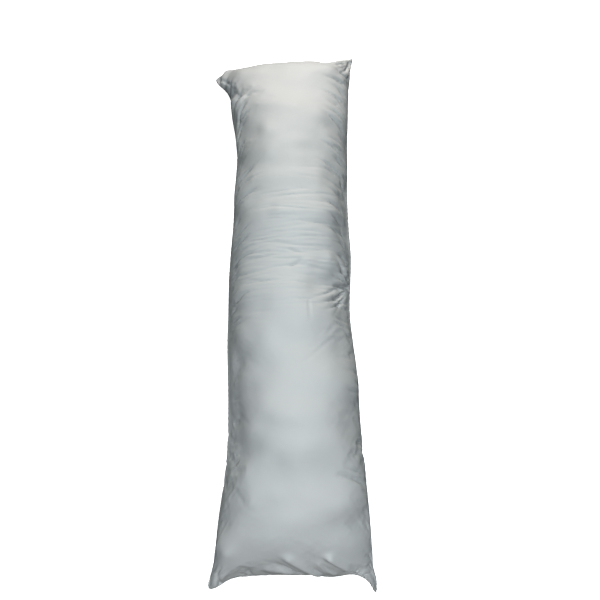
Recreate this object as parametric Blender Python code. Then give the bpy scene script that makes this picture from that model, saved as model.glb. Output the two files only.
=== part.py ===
"""Body pillow lying on its back: two long panels sewn together round all four edges and stuffed.

X runs across the pillow, Y along it from the foot end to the head end, and Z up from the surface that it
lies on. Sizes are in metres.
"""

import math
from collections import namedtuple

import bmesh
import bpy
import numpy as np

# Width of cloth from seam to seam. It is the same all along, so a wide place in the pillow is a low one.
PANEL_WIDTH = 0.40

# Where the middle of each end seam lies, how far in from it the stuffing reaches its full height, and how
# much cloth goes round the end from there to the seam.
FOOT_SEAM = -0.688
HEAD_SEAM = 0.656
NOSE_LENGTH = 0.085
NOSE_CLOTH = 0.140

# Ears: the sewn corners, which stand out past the end seam and past the sides. A sharp ear is narrow at its
# root. All droop a little and are blunt at the tip.
FOOT, HEAD = -1, 1
LEFT, RIGHT = -1, 1
Ear = namedtuple("Ear", "end side endways sideways sharpness")
EARS = (
    Ear(FOOT, LEFT, 0.041, 0.020, 3.5),
    Ear(FOOT, RIGHT, 0.048, 0.020, 5.5),
    Ear(HEAD, LEFT, -0.003, 0.049, 3.5),
    Ear(HEAD, RIGHT, 0.052, 0.019, 3.0),
)
EAR_FADE_ENDWAYS = 0.22
EAR_FADE_SIDEWAYS = 0.12
EAR_DROOP = 0.018
EAR_BLUNTNESS = 0.010

# The underside rests flat where the stuffing is thicker than this share of its full height.
RESTING_SHARE = 0.72

# Faces across each panel, along the body and round each end. Rows lie closer together near the ends.
COLUMNS = 34
BODY_ROWS = 68
NOSE_ROWS = 13
ROW_CROWDING = 0.45

# Places along the pillow: where its side seams run, how high they lie, and how well it is stuffed there.
Section = namedtuple("Section", "along left right left_seam right_seam loft")
SECTIONS = (
    Section(-0.688, -0.179, 0.181, 0.038, 0.042, 1.00),
    Section(-0.640, -0.174, 0.177, 0.046, 0.056, 1.00),
    Section(-0.570, -0.171, 0.173, 0.056, 0.070, 0.99),
    Section(-0.490, -0.161, 0.164, 0.064, 0.080, 1.00),
    Section(-0.410, -0.155, 0.158, 0.070, 0.083, 1.02),
    Section(-0.330, -0.154, 0.154, 0.072, 0.084, 1.00),
    Section(-0.240, -0.158, 0.151, 0.072, 0.084, 0.99),
    Section(-0.170, -0.162, 0.143, 0.072, 0.083, 1.01),
    Section(-0.090, -0.162, 0.137, 0.072, 0.082, 1.00),
    Section(0.000, -0.164, 0.141, 0.072, 0.082, 0.97),
    Section(0.060, -0.162, 0.144, 0.073, 0.082, 0.99),
    Section(0.130, -0.158, 0.140, 0.074, 0.082, 1.01),
    Section(0.200, -0.157, 0.138, 0.074, 0.082, 1.00),
    Section(0.270, -0.156, 0.139, 0.073, 0.081, 1.00),
    Section(0.340, -0.154, 0.141, 0.072, 0.080, 1.01),
    Section(0.410, -0.161, 0.143, 0.068, 0.078, 1.02),
    Section(0.490, -0.175, 0.147, 0.060, 0.072, 1.00),
    Section(0.570, -0.183, 0.152, 0.050, 0.060, 1.03),
    Section(0.656, -0.186, 0.154, 0.040, 0.048, 1.05),
)

# Folds of the upper panel, placed on the flat cloth: across from its middle line and along from the same
# origin as above. A fold is a trough with raised lips, or a ridge where its depth is below zero.
Fold = namedtuple("Fold", "across along to_across to_along width depth")
FOLDS = (
    # Drawn down to the foot seam and its ears
    Fold(-0.036, -0.652, 0.031, -0.748, 0.015, 0.008),
    Fold(0.024, -0.662, 0.082, -0.748, 0.014, 0.006),
    Fold(0.060, -0.645, 0.190, -0.742, 0.022, -0.008),
    Fold(0.092, -0.704, 0.168, -0.750, 0.014, 0.004),
    Fold(-0.087, -0.668, -0.089, -0.750, 0.013, 0.003),
    Fold(-0.118, -0.640, -0.186, -0.735, 0.020, -0.005),
    Fold(-0.171, -0.675, -0.160, -0.748, 0.012, 0.004),
    # Drawn up to the head seam and its ears
    Fold(-0.105, 0.600, -0.160, 0.695, 0.030, -0.010),
    Fold(-0.184, 0.700, -0.182, 0.585, 0.012, 0.007),
    Fold(-0.085, 0.508, -0.166, 0.440, 0.013, 0.004),
    Fold(-0.108, 0.538, -0.176, 0.500, 0.013, 0.004),
    Fold(0.090, 0.600, 0.165, 0.700, 0.028, -0.008),
    Fold(0.160, 0.705, 0.195, 0.640, 0.012, 0.006),
    # Drawn in to the pinch at the right seam
    Fold(0.118, -0.032, 0.205, -0.030, 0.014, 0.011),
    Fold(0.038, -0.084, 0.104, -0.044, 0.013, 0.003),
    Fold(0.044, -0.101, 0.132, -0.066, 0.013, 0.004),
    Fold(0.110, 0.004, 0.196, -0.018, 0.013, 0.003),
    # A pull across the lower right, and soft arcs over the middle
    Fold(0.068, -0.480, 0.182, -0.502, 0.013, 0.004),
    Fold(0.060, 0.224, 0.176, 0.206, 0.013, 0.003),
    Fold(-0.060, 0.152, 0.040, 0.148, 0.014, 0.002),
    Fold(0.010, 0.108, 0.150, 0.112, 0.014, 0.002),
    Fold(-0.170, 0.070, -0.085, 0.030, 0.014, 0.003),
    # Hollows between clumps of stuffing
    Fold(-0.120, 0.355, -0.080, 0.365, 0.050, 0.005),
    Fold(0.075, 0.395, 0.120, 0.350, 0.050, 0.005),
    Fold(-0.100, 0.235, -0.060, 0.225, 0.045, 0.004),
    Fold(0.010, -0.235, 0.140, -0.225, 0.040, 0.004),
    Fold(-0.110, -0.455, -0.060, -0.465, 0.055, 0.005),
    Fold(0.020, -0.470, 0.080, -0.480, 0.050, 0.004),
    Fold(0.130, -0.560, 0.150, -0.610, 0.035, 0.004),
)
# Share of the full height below which the folds die out, because the seams hold the cloth there.
SEAM_HOLD = 0.2

WELD_DISTANCE = 1e-6


def smooth_step(t):
    """Rise from 0 to 1 with level ends."""
    t = np.clip(t, 0, 1)
    return t * t * (3 - 2 * t)


def section_value(column, at):
    """One column of the sections at the given places, on a smooth curve through its rows."""
    along = np.array([section.along for section in SECTIONS])
    value = np.array([getattr(section, column) for section in SECTIONS])
    slope = np.gradient(value, along)
    row = np.clip(np.searchsorted(along, at) - 1, 0, len(along) - 2)
    gap = along[row + 1] - along[row]
    t = (at - along[row]) / gap
    rise = smooth_step(t)
    leaving = slope[row] * gap * t * (1 - t) ** 2
    arriving = slope[row + 1] * gap * t**2 * (t - 1)
    return value[row] * (1 - rise) + value[row + 1] * rise + leaving + arriving


def crown_rise(width):
    """Height of the half ellipse of this width whose arc is one panel wide."""
    half = width[..., None] / 2
    rise = np.linspace(0.004, 0.14, 400)
    arc = math.pi / 2 * (3 * (half + rise) - np.sqrt((3 * half + rise) * (half + 3 * rise)))
    return rise[np.argmin(np.abs(arc - PANEL_WIDTH), axis=-1)]


def stations():
    """Place along the pillow, place on the cloth and share of the full height, for each row of corners."""
    turn = np.linspace(0, math.pi / 2, NOSE_ROWS + 1)
    nose = NOSE_LENGTH * (1 - np.cos(turn))
    round_end = NOSE_CLOTH * (1 - turn / (math.pi / 2))
    even = np.linspace(-1, 1, BODY_ROWS + 1)[1:-1]
    crowded = (1 - ROW_CROWDING) * even + ROW_CROWDING * np.sin(math.pi / 2 * even)
    start, stop = FOOT_SEAM + NOSE_LENGTH, HEAD_SEAM - NOSE_LENGTH
    body = (start + stop) / 2 + (stop - start) / 2 * crowded
    along = np.concatenate([FOOT_SEAM + nose, body, HEAD_SEAM - nose[::-1]])
    cloth = np.concatenate([start - round_end, body, stop + round_end[::-1]])
    fullness = np.concatenate([np.sin(turn), np.ones_like(body), np.sin(turn[::-1])])
    return along[:, None], cloth[:, None], fullness[:, None]


def ear_shifts(across, along):
    """How far the ears carry the cloth sideways, endways and down."""
    sideways, endways, down = 0, 0, 0
    for ear in EARS:
        from_end = HEAD_SEAM - along if ear.end == HEAD else along - FOOT_SEAM
        root = np.clip(ear.side * across, 0, 1) ** ear.sharpness
        near_end = 1 - smooth_step(from_end / EAR_FADE_ENDWAYS)
        near_tip = 1 - smooth_step(from_end / EAR_FADE_SIDEWAYS)
        sideways = sideways + ear.side * ear.sideways * root * near_tip
        endways = endways + ear.end * ear.endways * root * near_end
        down = down + EAR_DROOP * root * near_tip
    return sideways, endways, down


def fold_heights(across, cloth, share):
    """Sum of all folds at each corner. It is nothing at the seams, where the panels join."""
    cloth_x = across * PANEL_WIDTH / 2 + 0 * cloth
    cloth_y = cloth + 0 * across
    heights = np.zeros_like(cloth_x)
    for fold in FOLDS:
        run_x, run_y = fold.to_across - fold.across, fold.to_along - fold.along
        length = math.hypot(run_x, run_y)
        off_x, off_y = cloth_x - fold.across, cloth_y - fold.along
        travelled = (off_x * run_x + off_y * run_y) / length
        beside = (off_x * run_y - off_y * run_x) / length
        past_end = np.maximum(np.abs(travelled - length / 2) - length / 2, 0)
        distance = (beside**2 + past_end**2) / fold.width**2
        heights -= fold.depth * (1 - distance) * np.exp(-distance)
    return heights * smooth_step(share / SEAM_HOLD)


def outward(points):
    """Unit normals of the upper panel's points."""
    normals = np.cross(np.gradient(points, axis=1), np.gradient(points, axis=0))
    return normals / np.linalg.norm(normals, axis=-1, keepdims=True)


def panels():
    """Corners of the upper and the lower panel's faces, a row of points for each station.

    A section is half an ellipse over the seams, and under them a curve that flattens on the ground. Round
    each end its height follows a quarter of an ellipse down to the end seam.
    """
    along, cloth, fullness = stations()
    across = np.linspace(-1, 1, COLUMNS + 1)[None, :]
    sideways, endways, down = ear_shifts(across, along)
    blunt = EAR_BLUNTNESS * np.abs(across) ** 20 * (1 - fullness) ** 4

    left, right = section_value("left", along), section_value("right", along)
    spread = (1 - fullness) * across + fullness * np.sin(math.pi / 2 * across)
    x = (left + right) / 2 + (right - left) / 2 * spread + sideways - np.sign(across) * blunt
    y = along + endways - np.sign(along) * blunt

    left_seam, right_seam = section_value("left_seam", along), section_value("right_seam", along)
    seam = left_seam + (right_seam - left_seam) * (1 + across) / 2 - down
    share = fullness * np.cos(math.pi / 2 * across)
    crown = seam + crown_rise(right - left) * section_value("loft", along) * share
    under = seam * np.clip(1 - share / RESTING_SHARE, 0, 1) ** 2

    upper = np.stack([x, y, crown], axis=-1)
    lower = np.stack([x, y, under], axis=-1)
    upper += outward(upper) * fold_heights(across, cloth, share)[..., None]
    return upper, lower


def add_panel(body, points, facing_down):
    """Lay a grid of faces on the points of one panel."""
    rows, columns = points.shape[0] - 1, points.shape[1] - 1
    grid = bmesh.ops.create_grid(body, x_segments=columns, y_segments=rows, size=1)
    for vertex in grid["verts"]:
        column = round((vertex.co.x + 1) / 2 * columns)
        row = round((vertex.co.y + 1) / 2 * rows)
        vertex.co = points[row, column]
    if facing_down:
        faces = {face for vertex in grid["verts"] for face in vertex.link_faces}
        bmesh.ops.reverse_faces(body, faces=list(faces))


def cover_material():
    """Smooth silver-grey cloth."""
    material = bpy.data.materials.new("cover")
    material.use_nodes = True
    shader = material.node_tree.nodes["Principled BSDF"]
    shader.inputs["Base Color"].default_value = (0.50, 0.53, 0.53, 1)
    shader.inputs["Roughness"].default_value = 0.7
    shader.inputs["Metallic"].default_value = 0
    return material


def make_pillow(collection):
    """Join the two panels at their seams into one stuffed body, with its middle over the origin."""
    upper, lower = panels()
    both = np.concatenate([upper, lower], axis=1)
    middle = (both.min(axis=(0, 1)) + both.max(axis=(0, 1))) / 2 * (1, 1, 0)
    body = bmesh.new()
    add_panel(body, upper - middle, facing_down=False)
    add_panel(body, lower - middle, facing_down=True)
    bmesh.ops.remove_doubles(body, verts=body.verts, dist=WELD_DISTANCE)
    mesh = bpy.data.meshes.new("pillow")
    body.to_mesh(mesh)
    body.free()
    mesh.shade_smooth()
    mesh.materials.append(cover_material())
    collection.objects.link(bpy.data.objects.new("pillow", mesh))


def main():
    for old in list(bpy.data.objects):
        bpy.data.objects.remove(old)
    collection = bpy.data.collections.new("body_pillow")
    bpy.context.scene.collection.children.link(collection)
    make_pillow(collection)


main()
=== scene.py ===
"""Body pillow: a long stuffed pillow of smooth silver-grey cloth, lying on its back on a pale floor.

Two long panels are sewn together round all four edges and stuffed. X runs across the pillow, Y along it from
the foot end to the head end, and Z up from the floor. Sizes are in metres.
"""

import math
from collections import namedtuple

import bpy
import numpy as np
from bpy.props import FloatProperty, FloatVectorProperty, IntProperty, PointerProperty
from bpy.types import Operator, Panel, PropertyGroup
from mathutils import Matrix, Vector


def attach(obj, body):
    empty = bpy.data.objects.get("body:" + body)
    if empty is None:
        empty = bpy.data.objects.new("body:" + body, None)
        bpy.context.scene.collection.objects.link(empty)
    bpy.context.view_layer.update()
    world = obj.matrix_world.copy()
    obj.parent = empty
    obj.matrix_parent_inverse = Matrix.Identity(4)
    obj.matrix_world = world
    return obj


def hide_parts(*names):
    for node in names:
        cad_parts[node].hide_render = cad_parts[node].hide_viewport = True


bl_info = {
    "name": "Body pillow",
    "version": (1, 0, 0),
    "blender": (4, 5, 0),
    "location": "3D View > Sidebar > Pillow",
    "description": "A long stuffed pillow with ears at its sewn corners, on a plain studio floor",
    "category": "Add Mesh",
}

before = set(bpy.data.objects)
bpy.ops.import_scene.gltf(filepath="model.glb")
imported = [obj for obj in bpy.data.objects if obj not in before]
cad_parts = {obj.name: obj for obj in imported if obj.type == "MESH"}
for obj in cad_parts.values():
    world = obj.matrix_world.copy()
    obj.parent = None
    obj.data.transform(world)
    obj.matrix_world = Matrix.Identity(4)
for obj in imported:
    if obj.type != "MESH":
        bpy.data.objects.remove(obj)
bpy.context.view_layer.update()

# Cloth of one panel: its width from seam to seam, and how much of its length goes round each end.
PANEL_WIDTH = 0.40
NOSE_CLOTH = 0.140

# Where the middle of each end seam lies, and how far in from it the stuffing reaches its full height.
FOOT_SEAM = -0.688
HEAD_SEAM = 0.656
NOSE_LENGTH = 0.085
# Power of the rise from the end seam: 1 is an ellipse, and less is fuller.
NOSE_POWER = 0.85
FOOT_NOSE = FOOT_SEAM + NOSE_LENGTH
HEAD_NOSE = HEAD_SEAM - NOSE_LENGTH
CLOTH_FOOT = FOOT_NOSE - NOSE_CLOTH
CLOTH_HEAD = HEAD_NOSE + NOSE_CLOTH

# The origin is the middle of the footprint, and the sections below are measured from this far off it.
MIDDLE = (-0.017, -0.014)

# Ears: the sewn corners, which stand out past the end seam and past the sides. A sharp ear is narrow at its
# root. All droop a little, and the corner of the cloth is rounded to the last radius. The ear at the head's
# left is the sum of two.
FOOT, HEAD = -1, 1
LEFT, RIGHT = -1, 1
Ear = namedtuple("Ear", "end side endways sideways sharpness rounding")
EARS = (
    Ear(FOOT, LEFT, 0.043, 0.018, 3.5, 0.042),
    Ear(FOOT, RIGHT, 0.068, 0.016, 10.0, 0.058),
    Ear(HEAD, LEFT, -0.009, 0.049, 3.5, 0.020),
    Ear(HEAD, LEFT, 0.008, 0.000, 1.3, 0.000),
    Ear(HEAD, RIGHT, 0.052, 0.019, 3.0, 0.012),
)
EAR_FADE_ENDWAYS = 0.22
EAR_FADE_SIDEWAYS = 0.12
EAR_DROOP = 0.018
# Power of the place across by which the cloth round the ends lies flatter towards the side seams.
EAR_FLATNESS = 8
# Waves of the end seams between their ears: how far each carries the cloth outward along the pillow.
Wave = namedtuple("Wave", "end across spread endways")
WAVES = (
    Wave(HEAD, -0.12, 0.16, -0.004),
    Wave(HEAD, 0.28, 0.12, 0.004),
    Wave(FOOT, 0.45, 0.18, 0.004),
)

# The underside rests flat where the stuffing is thicker than this share of its full height.
RESTING_SHARE = 0.72

# Places along the pillow: where its side seams run, how high they lie, and how well it is stuffed there.
Section = namedtuple("Section", "along left right left_seam right_seam loft")
SECTIONS = (
    Section(-0.688, -0.179, 0.181, 0.038, 0.042, 1.00),
    Section(-0.640, -0.174, 0.177, 0.046, 0.056, 1.00),
    Section(-0.570, -0.171, 0.173, 0.056, 0.070, 0.99),
    Section(-0.490, -0.159, 0.164, 0.064, 0.080, 1.00),
    Section(-0.410, -0.1535, 0.158, 0.070, 0.083, 1.02),
    Section(-0.330, -0.154, 0.154, 0.072, 0.084, 1.00),
    Section(-0.240, -0.158, 0.151, 0.072, 0.084, 0.99),
    Section(-0.170, -0.162, 0.143, 0.072, 0.083, 1.01),
    Section(-0.090, -0.162, 0.137, 0.072, 0.082, 1.00),
    Section(0.000, -0.164, 0.141, 0.072, 0.082, 0.97),
    Section(0.060, -0.162, 0.144, 0.073, 0.082, 0.99),
    Section(0.130, -0.158, 0.140, 0.074, 0.082, 1.01),
    Section(0.200, -0.157, 0.138, 0.074, 0.082, 1.00),
    Section(0.270, -0.156, 0.139, 0.073, 0.081, 1.00),
    Section(0.340, -0.154, 0.141, 0.072, 0.080, 1.01),
    Section(0.410, -0.161, 0.143, 0.068, 0.078, 1.02),
    Section(0.490, -0.175, 0.147, 0.060, 0.072, 1.00),
    Section(0.570, -0.183, 0.152, 0.050, 0.060, 1.03),
    Section(0.656, -0.186, 0.154, 0.040, 0.048, 1.05),
)

# Swells and hollows of the stuffing under the upper panel, placed on the flat cloth: across from its middle
# line, and along. Each runs from one place to the other, bowed sideways in its middle, and is raised by its
# height. To the right of its run its width is multiplied by the last share, so less than 1 makes a fold that
# is steep there.
Swell = namedtuple("Swell", "across along to_across to_along bow width height right_share", defaults=(1,))
SWELLS = (
    # Cloth drawn tight from the stuffing to the ears and the foot seam, and the hollows beside it
    Swell(0.062, -0.656, 0.188, -0.720, 0.003, 0.011, 0.0110, 0.40),
    Swell(-0.008, -0.660, 0.050, -0.710, 0.002, 0.012, 0.0080, 0.40),
    Swell(0.044, -0.672, 0.080, -0.706, 0.001, 0.009, 0.0040, 0.40),
    Swell(-0.046, -0.690, -0.004, -0.704, 0.002, 0.010, 0.0030),
    Swell(-0.128, -0.640, -0.176, -0.722, 0.000, 0.016, 0.0050),
    Swell(-0.150, -0.610, -0.120, -0.635, 0.000, 0.026, 0.0045),
    Swell(-0.115, 0.600, -0.170, 0.690, 0.004, 0.024, 0.0060),
    Swell(-0.165, 0.664, -0.178, 0.620, 0.000, 0.013, 0.0090),
    Swell(-0.192, 0.684, -0.194, 0.630, 0.000, 0.007, -0.0090),
    Swell(0.095, 0.600, 0.165, 0.680, 0.000, 0.022, 0.0050),
    Swell(0.176, 0.668, 0.190, 0.625, 0.000, 0.009, -0.0080),
    # Clumps of stuffing and the dips between them, from the head end to the foot end
    Swell(0.000, 0.520, 0.050, 0.505, 0.000, 0.034, -0.0035),
    Swell(-0.165, 0.445, -0.138, 0.405, 0.000, 0.036, -0.0070),
    Swell(0.105, 0.395, 0.175, 0.365, 0.000, 0.036, -0.0060),
    Swell(-0.050, 0.370, 0.080, 0.325, 0.000, 0.024, 0.0040),
    Swell(-0.165, 0.310, -0.130, 0.290, 0.000, 0.036, -0.0070),
    Swell(0.115, 0.265, 0.175, 0.240, 0.000, 0.034, -0.0055),
    Swell(-0.030, 0.285, 0.030, 0.275, 0.000, 0.034, -0.0030),
    Swell(-0.080, 0.240, 0.060, 0.235, 0.006, 0.022, 0.0035),
    Swell(-0.165, 0.155, -0.140, 0.135, 0.000, 0.036, -0.0060),
    Swell(-0.080, 0.185, -0.030, 0.180, 0.000, 0.024, -0.0025),
    Swell(-0.020, 0.140, 0.150, 0.150, 0.004, 0.020, 0.0035),
    Swell(0.125, 0.105, 0.170, 0.095, 0.000, 0.028, -0.0050),
    Swell(-0.158, 0.050, -0.150, -0.030, 0.000, 0.036, -0.0070, 1.8),
    Swell(0.024, 0.020, 0.042, 0.008, 0.000, 0.012, 0.0030),
    Swell(0.090, 0.020, 0.160, 0.000, 0.000, 0.018, 0.0045),
    Swell(0.066, -0.050, 0.105, -0.022, 0.000, 0.018, -0.0036),
    Swell(-0.140, -0.050, -0.090, -0.055, 0.000, 0.022, 0.0030),
    Swell(-0.150, -0.110, -0.148, -0.200, 0.000, 0.038, -0.0090, 1.8),
    Swell(-0.130, -0.160, -0.060, -0.180, 0.000, 0.034, 0.0040),
    Swell(0.000, -0.185, 0.050, -0.190, 0.000, 0.032, -0.0040),
    Swell(0.115, -0.195, 0.155, -0.205, 0.000, 0.038, -0.0070),
    Swell(0.080, -0.265, 0.150, -0.285, 0.000, 0.032, 0.0045),
    Swell(-0.146, -0.260, -0.142, -0.330, 0.000, 0.040, -0.0095, 1.8),
    Swell(0.145, -0.320, 0.155, -0.335, 0.000, 0.038, -0.0055),
    Swell(-0.020, -0.360, 0.060, -0.345, 0.000, 0.034, 0.0030),
    Swell(-0.138, -0.375, -0.134, -0.430, 0.000, 0.042, -0.0125, 1.8),
    Swell(0.125, -0.385, 0.155, -0.400, 0.000, 0.034, -0.0060),
    Swell(-0.142, -0.490, -0.148, -0.560, 0.000, 0.042, -0.0060, 1.8),
    Swell(-0.045, -0.495, 0.055, -0.485, 0.000, 0.040, -0.0045),
    Swell(0.100, -0.545, -0.030, -0.600, 0.006, 0.038, 0.0035),
    Swell(0.148, -0.110, 0.150, 0.200, 0.000, 0.042, -0.0085, 1.8),
)
# Chance swells and hollows all over the upper panel: how many, and the spread of their heights.
LUMP_COUNT = 130
LUMP_HEIGHT = 0.0019

# Creases of the upper panel, placed as the swells are. Each runs from its faint end, and is a groove as deep
# as its depth at the given share of its run: 1 for one that is drawn in at its end, 0.5 for a free one.
Crease = namedtuple("Crease", "across along to_across to_along bow width depth deepest", defaults=(1,))
CREASES = (
    # Drawn down to the foot seam and its ears
    Crease(-0.042, -0.656, 0.030, -0.728, 0.003, 0.0060, 0.0120, 0.6),
    Crease(0.020, -0.668, 0.074, -0.724, 0.002, 0.0055, 0.0085, 0.55),
    Crease(0.037, -0.658, 0.080, -0.712, -0.002, 0.0042, 0.0050, 0.5),
    Crease(0.090, -0.692, 0.156, -0.724, 0.002, 0.0050, 0.0065, 0.6),
    Crease(0.060, -0.672, 0.094, -0.712, 0.001, 0.0040, 0.0030, 0.5),
    Crease(-0.084, -0.668, -0.090, -0.735, 0.002, 0.0050, 0.0065, 0.8),
    Crease(-0.060, -0.690, -0.050, -0.738, 0.000, 0.0045, 0.0050, 0.8),
    Crease(-0.108, -0.690, -0.100, -0.738, 0.000, 0.0045, 0.0040, 0.8),
    Crease(-0.128, -0.733, -0.084, -0.724, 0.003, 0.0040, 0.0040, 0.3),
    Crease(-0.150, -0.662, -0.166, -0.735, 0.002, 0.0055, 0.0090, 0.8),
    Crease(-0.190, -0.660, -0.186, -0.722, 0.001, 0.0040, 0.0040, 0.7),
    # Drawn up to the head seam and its ears
    Crease(-0.150, 0.560, -0.184, 0.640, 0.004, 0.0055, 0.0050, 0.7),
    Crease(0.130, 0.580, 0.176, 0.660, 0.002, 0.0055, 0.0055, 0.7),
    Crease(0.155, 0.545, 0.184, 0.635, 0.002, 0.0055, 0.0045, 0.7),
    # Drawn in from the left seam under the head
    Crease(-0.085, 0.506, -0.172, 0.436, -0.006, 0.0062, 0.0105, 0.6),
    Crease(-0.106, 0.535, -0.180, 0.490, -0.004, 0.0062, 0.0105, 0.6),
    Crease(-0.118, 0.480, -0.186, 0.405, -0.004, 0.0060, 0.0060, 0.6),
    Crease(-0.120, 0.440, -0.186, 0.375, -0.003, 0.0060, 0.0050, 0.6),
    # Drawn in to the pinch at the right seam
    Crease(0.100, -0.036, 0.196, -0.030, 0.002, 0.0060, 0.0140),
    Crease(0.040, -0.084, 0.130, -0.040, 0.004, 0.0038, 0.0046, 0.6),
    Crease(0.044, -0.100, 0.160, -0.056, 0.003, 0.0038, 0.0050, 0.6),
    Crease(0.058, -0.116, 0.165, -0.070, 0.002, 0.0038, 0.0040, 0.6),
    Crease(0.102, 0.012, 0.192, -0.012, 0.004, 0.0060, 0.0075, 0.8),
    Crease(0.110, 0.048, 0.190, 0.016, 0.003, 0.0050, 0.0060, 0.8),
    Crease(0.0423, -0.080, 0.0423, -0.150, 0.000, 0.0016, 0.0020, 0.3),
    # Free creases over the middle
    Crease(0.055, 0.226, 0.185, 0.200, 0.010, 0.0045, 0.0034, 0.6),
    Crease(0.040, 0.252, 0.185, 0.226, 0.010, 0.0045, 0.0030, 0.6),
    Crease(-0.160, 0.214, -0.040, 0.245, -0.008, 0.0045, 0.0026, 0.5),
    Crease(-0.060, 0.155, 0.040, 0.142, 0.004, 0.0038, 0.0024, 0.5),
    Crease(0.010, 0.104, 0.130, 0.114, 0.000, 0.0038, 0.0028, 0.5),
    Crease(-0.012, 0.042, 0.036, 0.026, 0.002, 0.0034, 0.0034, 0.5),
    Crease(-0.006, -0.014, 0.030, 0.016, 0.000, 0.0034, 0.0034, 0.5),
    Crease(-0.150, -0.010, -0.020, -0.008, 0.006, 0.0038, 0.0026, 0.4),
    # A pull across the lower right
    Crease(0.070, -0.478, 0.180, -0.503, -0.002, 0.0065, 0.0085, 0.6),
    Crease(0.090, -0.466, 0.170, -0.482, -0.002, 0.0050, 0.0040, 0.6),
)

# Chance creases drawn in from a side seam, between two places along it. They start about one pitch apart and
# reach about this far in. Their outer ends lie the given slope nearer the foot, as a share of their reach.
Gathers = namedtuple("Gathers", "side along to_along pitch reach slope depth")
GATHERS = (
    Gathers(LEFT, 0.36, 0.60, 0.017, 0.115, 0.55, 0.0060),
    Gathers(LEFT, 0.10, 0.36, 0.015, 0.115, 0.30, 0.0055),
    Gathers(LEFT, -0.14, 0.10, 0.014, 0.105, 0.15, 0.0045),
    Gathers(LEFT, -0.64, -0.14, 0.014, 0.070, 0.08, 0.0018),
    Gathers(RIGHT, 0.36, 0.60, 0.016, 0.115, 0.40, 0.0060),
    Gathers(RIGHT, 0.06, 0.36, 0.014, 0.120, 0.25, 0.0060),
    Gathers(RIGHT, -0.30, 0.06, 0.016, 0.100, 0.05, 0.0042),
    Gathers(RIGHT, -0.66, -0.30, 0.011, 0.050, 0.15, 0.0024),
)
# Chance creases that fan out from a place where the cloth is drawn in. Their angles are taken from straight
# across to the right, turning towards the head, and they run from the far distance to the near one.
Fan = namedtuple("Fan", "across along angle to_angle count near far depth")
FANS = (
    Fan(0.194, -0.032, 140, 222, 13, 0.018, 0.150, 0.0040),
    Fan(0.190, 0.660, 190, 258, 8, 0.035, 0.120, 0.0034),
    Fan(-0.186, -0.705, 15, 80, 7, 0.030, 0.090, 0.0026),
    Fan(0.190, -0.722, 105, 165, 6, 0.030, 0.100, 0.0018),
)
# Chance creases that lie across the middle of the pillow: the least, likeliest and most place along it.
ACROSS_COUNT = 170
ACROSS_ALONG = (-0.15, 0.00, 0.27)
ACROSS_LENGTH = (0.05, 0.20)
ACROSS_DEPTH = (0.0002, 0.0013)
# Width of a crease at its faint ends, as a share of its width where it is deepest, and how far its sharp
# bottom is softened, in widths.
FAINT_WIDTH = 1.5
CREASE_SOFTNESS = 0.2
# The lower panel is creased in full where it lies this far off the floor.
CLEAR_HEIGHT = 0.02
# Share of the local thickness that a crease may take, so the panels never meet, and that a ridge may add.
ROOM_SHARE = 0.4
RIDGE_SHARE = 0.9
# Width of the groove in which the seam lies, and how far the stitches pull it in.
SEAM_WIDTH = 0.0032
SEAM_DEPTH = 0.0016
# How many radians the puckers run ahead or behind, and radians of that swing to the metre of seam.
PUCKER_SWING = 2
PUCKER_SWING_RATE = 60

# Faces of each panel, of the finished cover and of the coarser cloth that is simulated.
COLUMNS, ROWS = 104, 470
TRIAL_COLUMNS, TRIAL_ROWS = 64, 280
# Rows lie closer together at these places along the cloth.
CloseRows = namedtuple("CloseRows", "along spread extra")
CLOSE_ROWS = (
    CloseRows(CLOTH_FOOT, 0.10, 1.0),
    CloseRows(CLOTH_HEAD, 0.10, 0.8),
    CloseRows(0.04, 0.20, 0.8),
)

# Slack cloth: places on the flat panels that hold this share more length than the drawn shape takes. The
# side is 1 for the upper panel, -1 for the lower one and 0 for both.
Slack = namedtuple("Slack", "side across across_spread along along_spread share")
SLACK_ZONES = (
    Slack(1, 0.1, 0.9, 0.06, 0.16, 0.08),
    Slack(1, 1.0, 0.5, -0.05, 0.08, 0.10),
)

CLOTH_FRAMES = 20
CLOTH_QUALITY = 5
CLOTH_MASS = 0.3
CLOTH_STIFFNESS = 80
CLOTH_BENDING = 0.02
CHANCE_UNEVENNESS = 0.0001
# Movements of the simulated cloth wider than this are already in the drawn shape.
SLOW_REACH = 0.022
WELD_DISTANCE = 1e-6

# Map of the flat cloth: metres to its unit, the place of the upper panel's corner, and how far from there the
# lower panel's lies.
MAP_SPAN = 1.5
MAP_CORNER = (0.02, 0.01)
MAP_SHIFT = (0.34, 0)
# Ribs of a wave texture to the unit, at a scale of one.
WAVE_RIBS = 20 / (2 * math.pi)

# Lights: where each stands, where it points, its width and length, and its colour.
Lamp = namedtuple("Lamp", "name place target size colour")
LAMPS = (
    Lamp("overhead", (0.04, 0, 1.8), (0.04, 0.0001, 0), (0.25, 1.8), (0.92, 1.0, 1.0)),
    Lamp("head", (0.1, 2.0, 1.0), (0, 0.4, 0.1), (0.7, 0.7), (1.0, 0.93, 0.87)),
    Lamp("foot", (0, -1.25, 2.1), (0, -0.45, 0.1), (0.8, 0.8), (0.92, 0.95, 1.0)),
    Lamp("low", (0, -2.4, 0.35), (0, -0.6, 0.1), (0.8, 0.3), (1.0, 0.88, 0.8)),
)
SKY_COLOUR = (0.3, 1.0, 1.0)
FLOOR_HALF = 6.0

# Camera: how far it stands to the right of the origin and towards the foot, the width of its frame, and its
# focal length in the frame's pixels.
CAMERA_SIDEWAYS = 0.0322
CAMERA_FOOTWARD = 0.5503
FRAME_SIZE = 600
FOCAL_PIXELS = 640


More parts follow.
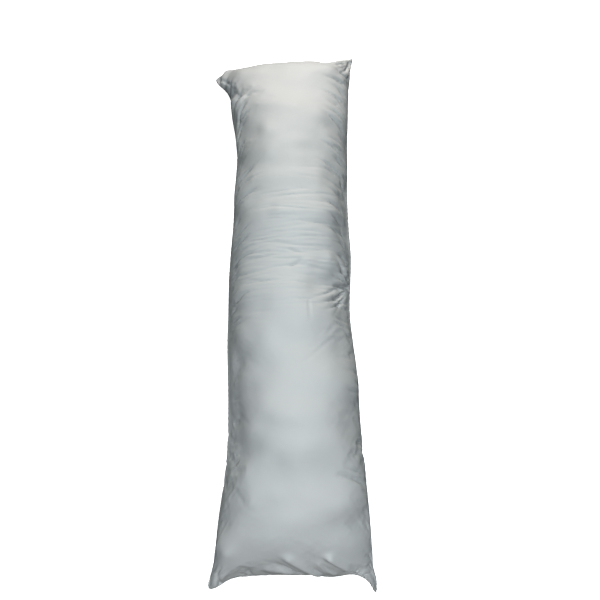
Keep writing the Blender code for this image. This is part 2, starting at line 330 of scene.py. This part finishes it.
class PillowShape(PropertyGroup):
    """How the pillow is stuffed and creased."""

    stuffing: FloatProperty(
        name="Stuffing", description="Pressure of the stuffing against the cover",
        default=4.0, min=0.0, max=20.0,
    )
    travel: FloatProperty(
        name="Most travel", description="How far the simulated cloth may move from the drawn shape",
        default=0.010, min=0.0, max=0.03, unit="LENGTH",
    )
    crease_share: FloatProperty(
        name="Creases", description="Swells and creases, as a share of their drawn height and depth",
        default=1.0, min=0.0, max=2.0,
    )
    pucker: FloatProperty(
        name="Pucker depth", description="Depth of the puckers along the seams",
        default=0.0007, min=0.0, max=0.005, unit="LENGTH",
    )
    pucker_pitch: FloatProperty(
        name="Pucker pitch", description="Usual distance from one pucker to the next",
        default=0.012, min=0.008, max=0.05, unit="LENGTH",
    )
    seed: IntProperty(name="Seed", description="Changes the chance swells and creases", default=7, min=0)


class CoverFinish(PropertyGroup):
    """Colours and gloss of the cloth."""

    colour: FloatVectorProperty(
        name="Cloth", description="Colour of the cloth",
        default=(0.35, 0.36, 0.36), min=0, max=1, subtype="COLOR",
    )
    # Darker colour of random clouds of painted shade, which stand in for the soft shade over the lumpy
    # stuffing.
    shade_cloud_colour: FloatVectorProperty(
        name="Painted shade clouds", description="Colour of the darker clouds of painted shade",
        default=(0.31, 0.325, 0.33), min=0, max=1, subtype="COLOR",
    )
    roughness: FloatProperty(
        name="Roughness", description="Roughness of the weave",
        default=0.75, min=0, max=1, subtype="FACTOR",
    )
    sheen: FloatProperty(
        name="Sheen", description="Soft light at the edges of the cloth",
        default=0.0, min=0, max=1, subtype="FACTOR",
    )
    rib_pitch: FloatProperty(
        name="Rib pitch", description="Distance from one faint rib of the weave to the next",
        default=0.0044, min=0.001, max=0.05, unit="LENGTH", precision=4,
    )


class StudioStage(PropertyGroup):
    """Floor, lights and camera."""

    floor_colour: FloatVectorProperty(
        name="Floor", description="Colour of the floor",
        default=(0.95, 0.95, 0.95), min=0, max=1, subtype="COLOR",
    )
    key_power: FloatProperty(
        name="Key light", description="Power of the light overhead",
        default=22, min=0, unit="POWER",
    )
    head_power: FloatProperty(
        name="Head light", description="Power of the light at the head",
        default=33, min=0, unit="POWER",
    )
    foot_power: FloatProperty(
        name="Foot light", description="Power of the light at the foot",
        default=26, min=0, unit="POWER",
    )
    low_power: FloatProperty(
        name="Low light", description="Power of the low warm light",
        default=3, min=0, unit="POWER",
    )
    sky: FloatProperty(
        name="Sky", description="Strength of the light from all round",
        default=0.015, min=0,
    )
    camera_height: FloatProperty(
        name="Camera height", description="Height of the camera over the floor",
        default=1.58, unit="LENGTH",
    )
    camera_pitch: FloatProperty(
        name="Camera pitch", description="How far below the horizon the camera looks",
        default=math.radians(71.37), subtype="ANGLE",
    )


def smooth_step(t):
    """Rise from 0 to 1 with level ends: three times the square less twice the cube."""
    t = np.clip(t, 0, 1)
    return t * t * (3 - 2 * t)


def section_value(column, at):
    """One column of the sections at the given places, on a smooth cubic through its rows."""
    along = np.array([section.along for section in SECTIONS])
    value = np.array([getattr(section, column) for section in SECTIONS])
    slope = np.gradient(value, along)
    row = np.clip(np.searchsorted(along, at) - 1, 0, len(along) - 2)
    gap = along[row + 1] - along[row]
    t = (at - along[row]) / gap
    rise = smooth_step(t)
    leaving = slope[row] * gap * t * (1 - t) ** 2
    arriving = slope[row + 1] * gap * t**2 * (t - 1)
    return value[row] * (1 - rise) + value[row + 1] * rise + leaving + arriving


def crown_rise(width):
    """Height of the half ellipse of this width whose arc is one panel wide.

    The arc of a half ellipse one unit in half width grows with its height, so a panel's width over that arc
    is the half width that the height belongs to.
    """
    ratio = np.linspace(0.02, 2, 2000)
    arc = math.pi / 2 * (3 * (1 + ratio) - np.sqrt((3 + ratio) * (1 + 3 * ratio)))
    half = width / 2
    return half * np.interp(half, (PANEL_WIDTH / arc)[::-1], ratio[::-1])


def grid_lines(columns, rows):
    """Places of the grid's corners on the flat cloth: across from -1 to 1 as a row, and along as a column.

    The columns are even. The rows follow the running sum of a density that is one, and more at CLOSE_ROWS.
    """
    across = np.linspace(-1, 1, columns + 1)[None, :]
    fine = np.linspace(CLOTH_FOOT, CLOTH_HEAD, 2000)
    density = 1 + sum(zone.extra * np.exp(-(((fine - zone.along) / zone.spread) ** 2)) for zone in CLOSE_ROWS)
    running = np.concatenate([[0], np.cumsum((density[1:] + density[:-1]) / 2)])
    cloth = np.interp(np.linspace(0, running[-1], rows + 1), running, fine)[:, None]
    return across, cloth


def round_ends(across, cloth):
    """Place along the pillow, and share of the full height, at places on the cloth.

    Between the ends the cloth lies along the pillow. Round each end its place follows a quarter turn of an
    ellipse from the end seam up to the crown. Towards the side seams it lies flatter, with its place in
    proportion to the cloth, because the ears hold no stuffing.
    """
    foot_share = np.clip((cloth - CLOTH_FOOT) / NOSE_CLOTH, 0, 1)
    head_share = np.clip((CLOTH_HEAD - cloth) / NOSE_CLOTH, 0, 1)
    flat = np.abs(across) ** EAR_FLATNESS
    foot_reach = (1 - flat) * np.cos(foot_share * math.pi / 2) + flat * (1 - foot_share)
    head_reach = (1 - flat) * np.cos(head_share * math.pi / 2) + flat * (1 - head_share)
    along = np.clip(cloth, FOOT_NOSE, HEAD_NOSE) + NOSE_LENGTH * (head_reach - foot_reach)
    return along, (np.sin(foot_share * math.pi / 2) * np.sin(head_share * math.pi / 2)) ** NOSE_POWER


def from_end_seam(end, along):
    """Distance along the pillow from the middle of one end seam."""
    return HEAD_SEAM - along if end == HEAD else along - FOOT_SEAM


def ear_shifts(across, along):
    """How far the ears carry the cloth sideways, endways and down: a power of its place, faded inwards."""
    sideways, endways, down = 0, 0, 0
    for ear in EARS:
        from_end = from_end_seam(ear.end, along)
        root = np.clip(ear.side * across, 0, 1) ** ear.sharpness
        near_end = 1 - smooth_step(from_end / EAR_FADE_ENDWAYS)
        near_tip = 1 - smooth_step(from_end / EAR_FADE_SIDEWAYS)
        sideways = sideways + ear.side * ear.sideways * root * near_tip
        endways = endways + ear.end * ear.endways * root * near_end
        down = down + EAR_DROOP * root * near_tip
    return sideways, endways, down


def rounded_corners(across, cloth):
    """The grid's places with each corner of the cloth rounded.

    A square at the corner is mapped to a quarter disc: each of its two sides, as a share of the radius, is
    multiplied by the root of one less half the other's square.
    """
    for ear in EARS:
        if not ear.rounding:
            continue
        from_end = CLOTH_HEAD - cloth if ear.end == HEAD else cloth - CLOTH_FOOT
        from_side = (1 - ear.side * across) * PANEL_WIDTH / 2
        out_x = np.clip(1 - from_side / ear.rounding, 0, 1)
        out_y = np.clip(1 - from_end / ear.rounding, 0, 1)
        back_x = out_x * (1 - np.sqrt(1 - out_y**2 / 2)) * ear.rounding
        back_y = out_y * (1 - np.sqrt(1 - out_x**2 / 2)) * ear.rounding
        across = across - ear.side * back_x / (PANEL_WIDTH / 2)
        cloth = cloth - ear.end * back_y
    return across, cloth


def stuffed_panels(across, cloth):
    """Smooth shape of the upper and the lower panel, as grids of points.

    A section is half an ellipse over the seams, and under them a curve that flattens on the floor. Round
    each end its height follows a quarter of an ellipse down to the end seam, and the ears stand out from it.
    """
    across, cloth = rounded_corners(across, cloth)
    along, fullness = round_ends(across, cloth)
    sideways, endways, down = ear_shifts(across, along)
    for wave in WAVES:
        near_end = 1 - smooth_step(from_end_seam(wave.end, along) / EAR_FADE_ENDWAYS)
        bell = np.exp(-(((across - wave.across) / wave.spread) ** 2))
        endways = endways + wave.end * wave.endways * near_end * bell

    left, right = section_value("left", along), section_value("right", along)
    spread = (1 - fullness) * across + fullness * np.sin(math.pi / 2 * across)
    x = (left + right) / 2 + (right - left) / 2 * spread + sideways
    y = along + endways

    left_seam, right_seam = section_value("left_seam", along), section_value("right_seam", along)
    seam = left_seam + (right_seam - left_seam) * (1 + across) / 2 - down
    share = fullness * np.cos(math.pi / 2 * across)
    crown = seam + crown_rise(right - left) * section_value("loft", along) * share
    under = seam * np.clip(1 - share / RESTING_SHARE, 0, 1) ** 2

    x, y = x - MIDDLE[0], y - MIDDLE[1]
    return np.stack([x, y, crown], axis=-1), np.stack([x, y, under], axis=-1)


def outward(points, facing):
    """Unit normals of a grid of points: the cross product of its two directions, up or down by facing."""
    normals = np.cross(np.gradient(points, axis=1), np.gradient(points, axis=0))
    return facing * normals / np.maximum(np.linalg.norm(normals, axis=-1, keepdims=True), 1e-12)


def line_distances(across, cloth, line):
    """Distance to the right of a bowed line on the flat cloth, past its ends, and the share of its run."""
    run_x, run_y = line.to_across - line.across, line.to_along - line.along
    length = math.hypot(run_x, run_y)
    off_x, off_y = across * PANEL_WIDTH / 2 - line.across, cloth - line.along
    travelled = (off_x * run_x + off_y * run_y) / length
    share = np.clip(travelled / length, 0, 1)
    beside = (off_x * run_y - off_y * run_x) / length - line.bow * 4 * share * (1 - share)
    past_end = np.maximum(np.abs(travelled - length / 2) - length / 2, 0)
    return beside, past_end, share


def swell_heights(across, cloth, swells):
    """Sum of the swells: each is a bell over the distance from its line, of another width on the right."""
    heights = 0
    for swell in swells:
        beside, past_end, _ = line_distances(across, cloth, swell)
        beside = np.where(beside > 0, beside / swell.right_share, beside)
        heights = heights + swell.height * np.exp(-(beside**2 + past_end**2) / swell.width**2)
    return heights


def crease_heights(across, cloth, creases):
    """Sum of the creases: each is a sharp groove between soft lips, wide and faint at its ends.

    With the distance beside its line in widths, d, the groove's height is -(1 - d) exp(-d), which takes as
    much cloth from the groove as it gives to the lips.
    """
    heights = 0
    for crease in creases:
        beside, past_end, share = line_distances(across, cloth, crease)
        rising = smooth_step(share / crease.deepest)
        falling = smooth_step((1 - share) / (1 - crease.deepest)) if crease.deepest < 1 else 1
        strength = rising * falling
        width = crease.width * (FAINT_WIDTH + (1 - FAINT_WIDTH) * strength)
        d = np.sqrt((beside / width) ** 2 + CREASE_SOFTNESS**2) - CREASE_SOFTNESS
        heights = heights - crease.depth * strength * (1 - d) * np.exp(-d - (past_end / width) ** 2)
    return heights


def chance_swells(chance):
    """Low swells and hollows at chance places, longer across the pillow than along it."""
    swells = []
    for _ in range(LUMP_COUNT):
        half_run = chance.uniform(0.01, 0.04)
        across = chance.uniform(-0.14, 0.14)
        along = chance.uniform(CLOTH_FOOT + 0.12, CLOTH_HEAD - 0.12)
        lean = chance.normal(0, 0.3) * half_run
        width = chance.uniform(0.018, 0.034)
        height = chance.normal(0, LUMP_HEIGHT)
        start = across - half_run, along - lean
        end = across + half_run, along + lean
        swells.append(Swell(*start, *end, 0, width, height))
    return swells


def chance_creases(chance):
    """Creases at chance places: gathered in from the side seams, fanned out, and across the middle."""
    creases = []
    half = PANEL_WIDTH / 2
    for zone in GATHERS:
        along = zone.along + chance.uniform(0, zone.pitch)
        while along < zone.to_along:
            reach = zone.reach * chance.uniform(0.4, 1.3)
            inner = zone.side * (half - reach)
            drop = reach * (zone.slope + chance.normal(0, 0.12))
            width = chance.uniform(0.0035, 0.0070)
            depth = zone.depth * chance.uniform(0.4, 1.2)
            bow = zone.side * reach * chance.uniform(-0.02, 0.08)
            outer = zone.side * (half - 0.004)
            creases.append(Crease(inner, along + drop, outer, along, bow, width, depth, 0.4))
            along += zone.pitch * chance.uniform(0.5, 1.5)
    for fan in FANS:
        angles = np.linspace(fan.angle, fan.to_angle, fan.count) + chance.normal(0, 3, fan.count)
        for angle in np.radians(angles):
            far = fan.near + (fan.far - fan.near) * chance.uniform(0.5, 1.0)
            start = fan.across + far * math.cos(angle), fan.along + far * math.sin(angle)
            end = fan.across + fan.near * math.cos(angle), fan.along + fan.near * math.sin(angle)
            width = chance.uniform(0.0030, 0.0048)
            depth = fan.depth * chance.uniform(0.5, 1.2)
            creases.append(Crease(*start, *end, chance.normal(0, 0.03) * far, width, depth, 0.7))
    for _ in range(ACROSS_COUNT):
        length = chance.uniform(*ACROSS_LENGTH)
        start = chance.uniform(-0.19, 0.19 - length)
        along = chance.triangular(*ACROSS_ALONG)
        drop = length * chance.normal(0, 0.10)
        depth = chance.uniform(*ACROSS_DEPTH)
        width = chance.uniform(0.0021, 0.0040)
        bow = chance.normal(0, 0.035) * length
        creases.append(Crease(start, along, start + length, along + drop, bow, width, depth, 0.5))
    return creases


def seam_pull(across, cloth, shape):
    """How far the stitches pull each corner in: a narrow bell over its distance from the seam, in waves."""
    from_side = (1 - np.abs(across)) * PANEL_WIDTH / 2
    from_end = np.minimum(cloth - CLOTH_FOOT, CLOTH_HEAD - cloth)
    run = np.where(from_side < from_end, cloth, across * PANEL_WIDTH / 2)
    swing = PUCKER_SWING * np.sin(run * PUCKER_SWING_RATE)
    wave = np.sin(2 * math.pi * run / shape.pucker_pitch + swing)
    near = np.exp(-((np.minimum(from_side, from_end) / SEAM_WIDTH) ** 2))
    return (SEAM_DEPTH + shape.pucker * wave) * near


def split_points(points, columns, rows):
    """The two grids that cover_points joined."""
    corners = (rows + 1) * (columns + 1)
    upper = points[:corners].reshape(rows + 1, columns + 1, 3)
    lower = upper.copy()
    lower[1:-1, 1:-1] = points[corners:].reshape(rows - 1, columns - 1, 3)
    return upper, lower


def blurred(upper, lower, axis, radius):
    """Both grids blurred along one axis by a Gaussian of this radius in cells, round the loop they make."""
    count = upper.shape[axis]
    back = np.flip(lower.take(np.arange(1, count - 1), axis=axis), axis=axis)
    loop = np.concatenate([upper, back], axis=axis)
    waves = np.fft.rfftfreq(loop.shape[axis]) * 2 * math.pi * radius
    shape = [1, 1, 1]
    shape[axis] = -1
    passed = np.exp(-(waves**2) / 2).reshape(shape)
    loop = np.fft.irfft(np.fft.rfft(loop, axis=axis) * passed, n=loop.shape[axis], axis=axis)
    above = loop.take(np.arange(count), axis=axis)
    below = loop.take(np.concatenate([[0], np.arange(loop.shape[axis] - 1, count - 2, -1)]), axis=axis)
    return above, below


def finer(grid, axis, count):
    """A grid with this many cells along one axis, on a cubic curve through each four corners in a row."""
    last = grid.shape[axis] - 1
    at = np.linspace(0, last, count + 1)
    start = np.minimum(np.floor(at).astype(int), last - 1)
    shape = [1, 1, 1]
    shape[axis] = -1
    t = (at - start).reshape(shape)
    corners = (grid.take(np.clip(start + step, 0, last), axis=axis) for step in (-1, 0, 1, 2))
    before, here, there, after = corners
    square = 2 * before - 5 * here + 4 * there - after
    cube = 3 * (here - there) + after - before
    return here + t / 2 * (there - before + t * (square + t * cube))


def cut_cloth(across, cloth, sign):
    """The flat panel, made longer where it holds slack cloth: the running sum of the slack is added."""
    x = across * PANEL_WIDTH / 2 + 0 * cloth
    y = cloth + 0 * across
    for zone in SLACK_ZONES:
        if zone.side * sign >= 0:
            reach = np.exp(-(((across - zone.across) / zone.across_spread) ** 2))
            grown = zone.along_spread * np.tanh((cloth - zone.along) / zone.along_spread)
            y = y + zone.share * grown * reach
    return np.stack([x, y, 0 * x], axis=-1)


def stuffed_out(context, shape, columns, rows):
    """How far the stuffing and the slack cloth carry each corner of a coarse cover, as a grid for each panel.

    The cloth is simulated with its springs as long as on the flat cut panels, so it buckles where the drawn
    shape has less room than that. What moves slowly from place to place is taken out again, because the
    drawn shape already has it, and the rest may move no further than shape.travel.
    """
    across, cloth = grid_lines(columns, rows)
    upper, lower = stuffed_panels(across, cloth)
    points = cover_points(upper, lower)
    chance = np.random.default_rng(shape.seed)
    points = points + chance.normal(0, CHANCE_UNEVENNESS, points.shape) * (points[:, 2:] > WELD_DISTANCE)
    trial = bpy.data.objects.new("trial", new_mesh("trial", points, cover_faces(columns, rows)))
    context.scene.collection.objects.link(trial)
    trial.shape_key_add(name="stuffed")
    cut = trial.shape_key_add(name="cut flat")
    flat = cover_points(cut_cloth(across, cloth, 1), cut_cloth(across, cloth, -1))
    cut.data.foreach_set("co", flat.astype(np.float32).ravel())

    simulated = trial.modifiers.new("cloth", "CLOTH")
    settings = simulated.settings
    settings.rest_shape_key = cut
    settings.quality = CLOTH_QUALITY
    settings.mass = CLOTH_MASS
    settings.tension_stiffness = CLOTH_STIFFNESS
    settings.compression_stiffness = CLOTH_STIFFNESS
    settings.shear_stiffness = CLOTH_STIFFNESS / 3
    settings.bending_stiffness = CLOTH_BENDING
    settings.effector_weights.gravity = 0
    settings.use_pressure = True
    settings.uniform_pressure_force = shape.stuffing
    simulated.collision_settings.use_collision = False
    for number in range(1, CLOTH_FRAMES + 1):
        context.scene.frame_set(number)
    settled = trial.evaluated_get(context.evaluated_depsgraph_get())
    moved = np.empty(points.size, np.float32)
    settled.data.vertices.foreach_get("co", moved)
    context.scene.frame_set(1)
    bpy.data.objects.remove(trial)

    moved = moved.reshape(-1, 3).astype(float)
    if not np.isfinite(moved).all():
        raise RuntimeError("the simulated cloth flew apart")
    above, below = split_points(moved - cover_points(upper, lower), columns, rows)
    slow = blurred(above, below, 0, SLOW_REACH * rows / (CLOTH_HEAD - CLOTH_FOOT))
    slow = blurred(*slow, 1, SLOW_REACH * columns / PANEL_WIDTH)
    capped = []
    for drift in (above - slow[0], below - slow[1]):
        far = np.maximum(np.linalg.norm(drift, axis=-1, keepdims=True), 1e-9)
        capped.append(drift * np.tanh(far / shape.travel) * shape.travel / far)
    return capped


def creased_panels(upper, lower, across, cloth, shape):
    """Both panels with their swells, creases and seam, each moved along its normals.

    A movement levels off at its share of the local gap between the panels. The lower panel has chance creases
    only, where it doesn't rest.
    """
    gap = upper[..., 2] - lower[..., 2] + 1e-6
    chance = np.random.default_rng(shape.seed)
    swells = swell_heights(across, cloth, (*SWELLS, *chance_swells(chance)))
    drawn = swells + crease_heights(across, cloth, CREASES)
    above = shape.crease_share * (drawn + crease_heights(across, cloth, chance_creases(chance)))
    below = shape.crease_share * crease_heights(across, cloth, chance_creases(chance))
    below = below * smooth_step(lower[..., 2] / CLEAR_HEIGHT)
    up, down = outward(upper, 1), outward(lower, -1)
    out = up + down
    out = out / np.maximum(np.linalg.norm(out, axis=-1, keepdims=True), 1e-12)
    pull = out * seam_pull(across, cloth, shape)[..., None]
    for panel, normals, heights in ((upper, up, above), (lower, down, below)):
        room = np.where(heights > 0, RIDGE_SHARE, ROOM_SHARE) * gap
        panel += normals * (room * np.tanh(heights / room))[..., None] - pull
    lower[..., 2] = np.maximum(lower[..., 2], 0)
    return upper, lower


def cover_faces(columns, rows):
    """Corner numbers of both panels' faces. The lower panel's border uses the upper panel's points."""
    upper = np.arange((rows + 1) * (columns + 1)).reshape(rows + 1, columns + 1)
    lower = upper.copy()
    lower[1:-1, 1:-1] = upper.size + np.arange((rows - 1) * (columns - 1)).reshape(rows - 1, columns - 1)
    quads = [
        np.stack([side[:-1, :-1], side[:-1, 1:], side[1:, 1:], side[1:, :-1]], axis=-1).reshape(-1, 4)
        for side in (upper, lower)
    ]
    return np.concatenate([quads[0], quads[1][:, ::-1]])


def cover_points(upper, lower):
    """One list of points for both panels: all of the upper one's, then the lower one's inside its border."""
    return np.concatenate([upper.reshape(-1, 3), lower[1:-1, 1:-1].reshape(-1, 3)])


def new_mesh(name, points, quads):
    """A smoothly shaded mesh of these points and four-sided faces."""
    mesh = bpy.data.meshes.new(name)
    mesh.vertices.add(len(points))
    mesh.vertices.foreach_set("co", points.astype(np.float32).ravel())
    mesh.loops.add(quads.size)
    mesh.loops.foreach_set("vertex_index", quads.ravel().astype(np.int32))
    mesh.polygons.add(len(quads))
    mesh.polygons.foreach_set("loop_start", np.arange(0, quads.size, 4, dtype=np.int32))
    mesh.update(calc_edges=True)
    mesh.validate()
    mesh.shade_smooth()
    return mesh


def cloth_map(mesh, across, cloth):
    """Map each face to its place on the flat cloth, the lower panel beside the upper one."""
    cloth_x = (across * PANEL_WIDTH / 2 + 0 * cloth + PANEL_WIDTH / 2) / MAP_SPAN + MAP_CORNER[0]
    cloth_y = (cloth + 0 * across - CLOTH_FOOT) / MAP_SPAN + MAP_CORNER[1]
    flat = np.stack([cloth_x, cloth_y], axis=-1)
    corners = [flat[:-1, :-1], flat[:-1, 1:], flat[1:, 1:], flat[1:, :-1]]
    upper = np.stack(corners, axis=2).reshape(-1, 4, 2)
    lower = upper[:, ::-1] + MAP_SHIFT
    layer = mesh.uv_layers.new(name="cloth")
    layer.uv.foreach_set("vector", np.concatenate([upper, lower]).astype(np.float32).ravel())


def cover_material(finish):
    """Closely woven smooth cloth, clouded a little in gloss, with random clouds of painted shade in its
    colour, and with faint ribs both ways.
    """
    material = bpy.data.materials.new("cover")
    material.use_nodes = True
    nodes, links = material.node_tree.nodes, material.node_tree.links
    shader = nodes["Principled BSDF"]
    shader.inputs["Metallic"].default_value = 0
    shader.inputs["Sheen Weight"].default_value = finish.sheen
    shader.inputs["Sheen Roughness"].default_value = 0.4
    shader.inputs["IOR"].default_value = 2.0
    shader.inputs["Specular IOR Level"].default_value = 1.0

    place = nodes.new("ShaderNodeTexCoord")
    clouds = nodes.new("ShaderNodeTexNoise")
    clouds.inputs["Scale"].default_value = 7
    clouds.inputs["Detail"].default_value = 3
    links.new(place.outputs["Object"], clouds.inputs["Vector"])
    # Painted shade in random clouds: the colour darkens to the shade cloud colour where the noise is low.
    shade_clouds = nodes.new("ShaderNodeMix")
    shade_clouds.data_type = "RGBA"
    shade_clouds.inputs["A"].default_value = (*finish.shade_cloud_colour, 1)
    shade_clouds.inputs["B"].default_value = (*finish.colour, 1)
    spread = nodes.new("ShaderNodeMapRange")
    spread.inputs["From Min"].default_value = 0.3
    spread.inputs["From Max"].default_value = 0.7
    links.new(clouds.outputs["Fac"], spread.inputs["Value"])
    links.new(spread.outputs["Result"], shade_clouds.inputs["Factor"])
    links.new(shade_clouds.outputs["Result"], shader.inputs["Base Color"])

    gloss = nodes.new("ShaderNodeMapRange")
    gloss.inputs["To Min"].default_value = finish.roughness - 0.06
    gloss.inputs["To Max"].default_value = finish.roughness + 0.06
    links.new(clouds.outputs["Fac"], gloss.inputs["Value"])
    links.new(gloss.outputs["Result"], shader.inputs["Roughness"])

    weave = nodes.new("ShaderNodeMath")
    weave.operation = "ADD"
    for number, direction in enumerate(("X", "Y")):
        ribs = nodes.new("ShaderNodeTexWave")
        ribs.bands_direction = direction
        ribs.inputs["Scale"].default_value = MAP_SPAN / finish.rib_pitch / WAVE_RIBS
        links.new(place.outputs["UV"], ribs.inputs["Vector"])
        links.new(ribs.outputs["Fac"], weave.inputs[number])
    bump = nodes.new("ShaderNodeBump")
    bump.inputs["Strength"].default_value = 0.15
    bump.inputs["Distance"].default_value = 0.00005
    links.new(weave.outputs["Value"], bump.inputs["Height"])
    links.new(bump.outputs["Normal"], shader.inputs["Normal"])
    return material


class BODYPILLOW_OT_pillow(Operator):
    """Make the stuffed and creased pillow"""

    bl_idname = "body_pillow.pillow"
    bl_label = "Make pillow"
    bl_options = {"REGISTER", "UNDO"}

    def execute(self, context):
        shape = context.scene.body_pillow_shape
        across, cloth = grid_lines(COLUMNS, ROWS)
        upper, lower = stuffed_panels(across, cloth)
        above, below = stuffed_out(context, shape, TRIAL_COLUMNS, TRIAL_ROWS)
        upper = upper + finer(finer(above, 0, ROWS), 1, COLUMNS)
        lower = lower + finer(finer(below, 0, ROWS), 1, COLUMNS)
        upper, lower = creased_panels(upper, lower, across, cloth, shape)

        mesh = new_mesh("pillow_cover", cover_points(upper, lower), cover_faces(COLUMNS, ROWS))
        cloth_map(mesh, across, cloth)
        mesh.materials.append(cover_material(context.scene.body_pillow_finish))
        pillow = bpy.data.objects.new("pillow_cover", mesh)
        context.scene.collection.objects.link(pillow)
        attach(pillow, "root")
        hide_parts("pillow")
        return {"FINISHED"}


class BODYPILLOW_OT_stage(Operator):
    """Make the floor, the lights and the camera"""

    bl_idname = "body_pillow.stage"
    bl_label = "Make stage"
    bl_options = {"REGISTER", "UNDO"}

    def execute(self, context):
        stage = context.scene.body_pillow_stage
        floor(stage)
        powers = stage.key_power, stage.head_power, stage.foot_power, stage.low_power
        for lamp, power in zip(LAMPS, powers):
            area_light(lamp, power)
        sky = bpy.data.worlds.new("sky")
        sky.use_nodes = True
        background = sky.node_tree.nodes["Background"]
        background.inputs["Color"].default_value = (*SKY_COLOUR, 1)
        background.inputs["Strength"].default_value = stage.sky
        context.scene.world = sky
        context.scene.view_settings.view_transform = "Standard"
        camera(stage)
        return {"FINISHED"}


def floor(stage):
    """A square floor that glows evenly, and neither lights the pillow nor shows in its gloss."""
    half = FLOOR_HALF
    mesh = bpy.data.meshes.new("floor")
    corners = [(-half, -half, 0), (half, -half, 0), (half, half, 0), (-half, half, 0)]
    mesh.from_pydata(corners, [], [(0, 1, 2, 3)])
    material = bpy.data.materials.new("floor")
    material.use_nodes = True
    shader = material.node_tree.nodes["Principled BSDF"]
    shader.inputs["Base Color"].default_value = (*stage.floor_colour, 1)
    shader.inputs["Roughness"].default_value = 0.9
    shader.inputs["Emission Color"].default_value = (1, 1, 1, 1)
    shader.inputs["Emission Strength"].default_value = 1.0
    mesh.materials.append(material)
    made = bpy.data.objects.new("floor", mesh)
    made.visible_diffuse = False
    made.visible_glossy = False
    bpy.context.scene.collection.objects.link(made)
    return made


def area_light(lamp, power):
    """A rectangular light at the lamp's place, turned to its target."""
    data = bpy.data.lights.new(lamp.name, "AREA")
    data.shape = "RECTANGLE"
    data.size, data.size_y = lamp.size
    data.energy = power
    data.color = lamp.colour
    made = bpy.data.objects.new(lamp.name, data)
    made.location = lamp.place
    made.rotation_euler = (Vector(lamp.target) - Vector(lamp.place)).to_track_quat("-Z", "Y").to_euler()
    bpy.context.scene.collection.objects.link(made)


def camera(stage):
    """A camera that looks along the pillow towards its head, turned down by the stage's pitch."""
    data = bpy.data.cameras.new("camera")
    data.sensor_width = 36
    data.lens = data.sensor_width * FOCAL_PIXELS / FRAME_SIZE
    made = bpy.data.objects.new("camera", data)
    made.location = (CAMERA_SIDEWAYS, -CAMERA_FOOTWARD, stage.camera_height)
    made.rotation_euler = (math.pi / 2 - stage.camera_pitch, 0, 0)
    bpy.context.scene.collection.objects.link(made)
    bpy.context.scene.camera = made


class BODYPILLOW_PT_sidebar(Panel):
    """Sizes, colours and steps of the pillow"""

    bl_idname = "BODYPILLOW_PT_sidebar"
    bl_label = "Body pillow"
    bl_space_type = "VIEW_3D"
    bl_region_type = "UI"
    bl_category = "Pillow"

    def draw(self, context):
        scene = context.scene
        for group, operator in (
            (scene.body_pillow_shape, BODYPILLOW_OT_pillow),
            (scene.body_pillow_finish, None),
            (scene.body_pillow_stage, BODYPILLOW_OT_stage),
        ):
            box = self.layout.box()
            for name in group.__annotations__:
                box.prop(group, name)
            if operator:
                box.operator(operator.bl_idname)


GROUPS = {
    "body_pillow_shape": PillowShape,
    "body_pillow_finish": CoverFinish,
    "body_pillow_stage": StudioStage,
}
CLASSES = (*GROUPS.values(), BODYPILLOW_OT_pillow, BODYPILLOW_OT_stage, BODYPILLOW_PT_sidebar)


def register():
    for added in CLASSES:
        bpy.utils.register_class(added)
    for name, group in GROUPS.items():
        setattr(bpy.types.Scene, name, PointerProperty(type=group))


def unregister():
    for name in GROUPS:
        delattr(bpy.types.Scene, name)
    for added in reversed(CLASSES):
        bpy.utils.unregister_class(added)


def main():
    register()
    bpy.ops.body_pillow.pillow()
    bpy.ops.body_pillow.stage()


if __name__ == "__main__":
    main()
